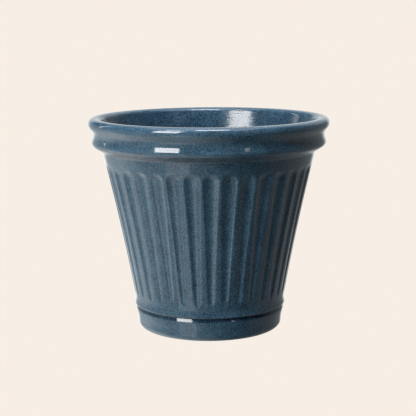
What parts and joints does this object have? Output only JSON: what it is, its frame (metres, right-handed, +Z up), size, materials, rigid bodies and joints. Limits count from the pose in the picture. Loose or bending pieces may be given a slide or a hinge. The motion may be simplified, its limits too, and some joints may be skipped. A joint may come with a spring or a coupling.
{
  "type": "plant pot",
  "caption": "Tapered round plant pot with a beaded rolled rim, scooped vertical flutes and a plinth foot, in glazed terracotta.",
  "frame": {"origin": "middle of the base, on the plane of the standing ring", "axes": "+Z up the pot's axis; +X and +Y each pass through the middle of a flute"},
  "size_m": [0.24, 0.24, 0.2126],
  "materials": {
    "fired_terracotta": "Bare fired red earthenware, matt and slightly gritty, seen on the standing ring, the underside and the drain hole",
    "blue_glaze": "Glossy fired glaze, dark denim blue with a fine lighter fleck, pooled darker in the flutes and grooves"
  },
  "bodies": {
    "root": {"clay_body": "fired_terracotta", "glaze_coat": "blue_glaze"}
  },
  "joints": []
}
